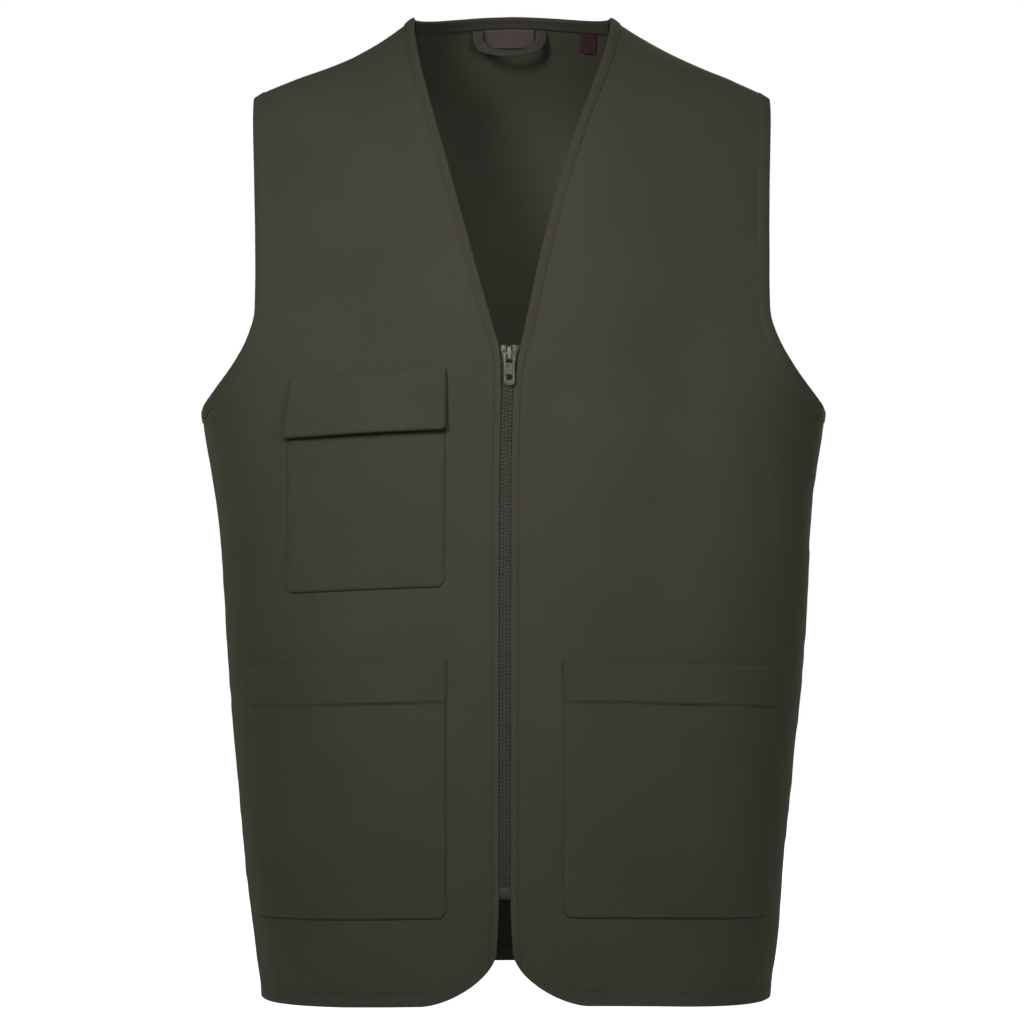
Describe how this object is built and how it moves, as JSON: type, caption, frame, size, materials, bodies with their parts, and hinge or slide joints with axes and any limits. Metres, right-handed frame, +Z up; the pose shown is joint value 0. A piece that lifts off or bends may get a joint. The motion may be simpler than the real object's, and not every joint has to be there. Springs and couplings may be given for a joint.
{
  "type": "utility work vest",
  "caption": "Sleeveless cotton work vest in its worn form: V neck, full-length metal zip, two large patch pockets, flap chest pocket, bound armholes and hanger loop.",
  "frame": {"origin": "where the tape inside the back neck rests on the nape, at the centre back", "axes": "+Z up along the worn vest, -Y towards the front, +X towards the wearer's left"},
  "size_m": [0.4563, 0.2829, 0.722],
  "materials": {
    "body_cloth": "matt dark olive cotton twill",
    "pocket_cloth": "matt dark olive cotton twill",
    "binding_cloth": "matt dark olive cotton, topstitched",
    "tape_cloth": "woven tape",
    "zip_metal": "aged nickel",
    "teeth_metal": "aged nickel",
    "label_cloth": "plain woven label",
    "tab_cloth": "plain woven tab"
  },
  "bodies": {
    "vest": {"front_panel_right": "body_cloth", "front_panel_left": "body_cloth", "back_panel": "body_cloth", "neck_band_right": "binding_cloth", "neck_band_left": "binding_cloth", "armhole_binding_right": "binding_cloth", "armhole_binding_left": "binding_cloth", "back_neck_tape": "tape_cloth", "chest_pocket": "pocket_cloth", "chest_pocket_flap": "pocket_cloth", "lower_pocket_right": "pocket_cloth", "lower_pocket_left": "pocket_cloth", "zip_tape_right": "tape_cloth", "zip_tape_left": "tape_cloth", "zip_teeth_right": "teeth_metal", "zip_teeth_left": "teeth_metal", "zip_bottom_box": "zip_metal", "zip_slider": "zip_metal", "hanger_loop": "tape_cloth", "neck_label": "label_cloth", "size_tab": "tab_cloth"},
    "zip_pull": {"zip_pull": "zip_metal"}
  },
  "joints": [
    {"name": "zip_pull_swing", "type": "hinge", "parent": "vest", "child": "zip_pull", "pos_m": [-0.00182, -0.19504, -0.262], "axis": [-1, 0, 0], "range_deg": [0, 170]}
  ]
}
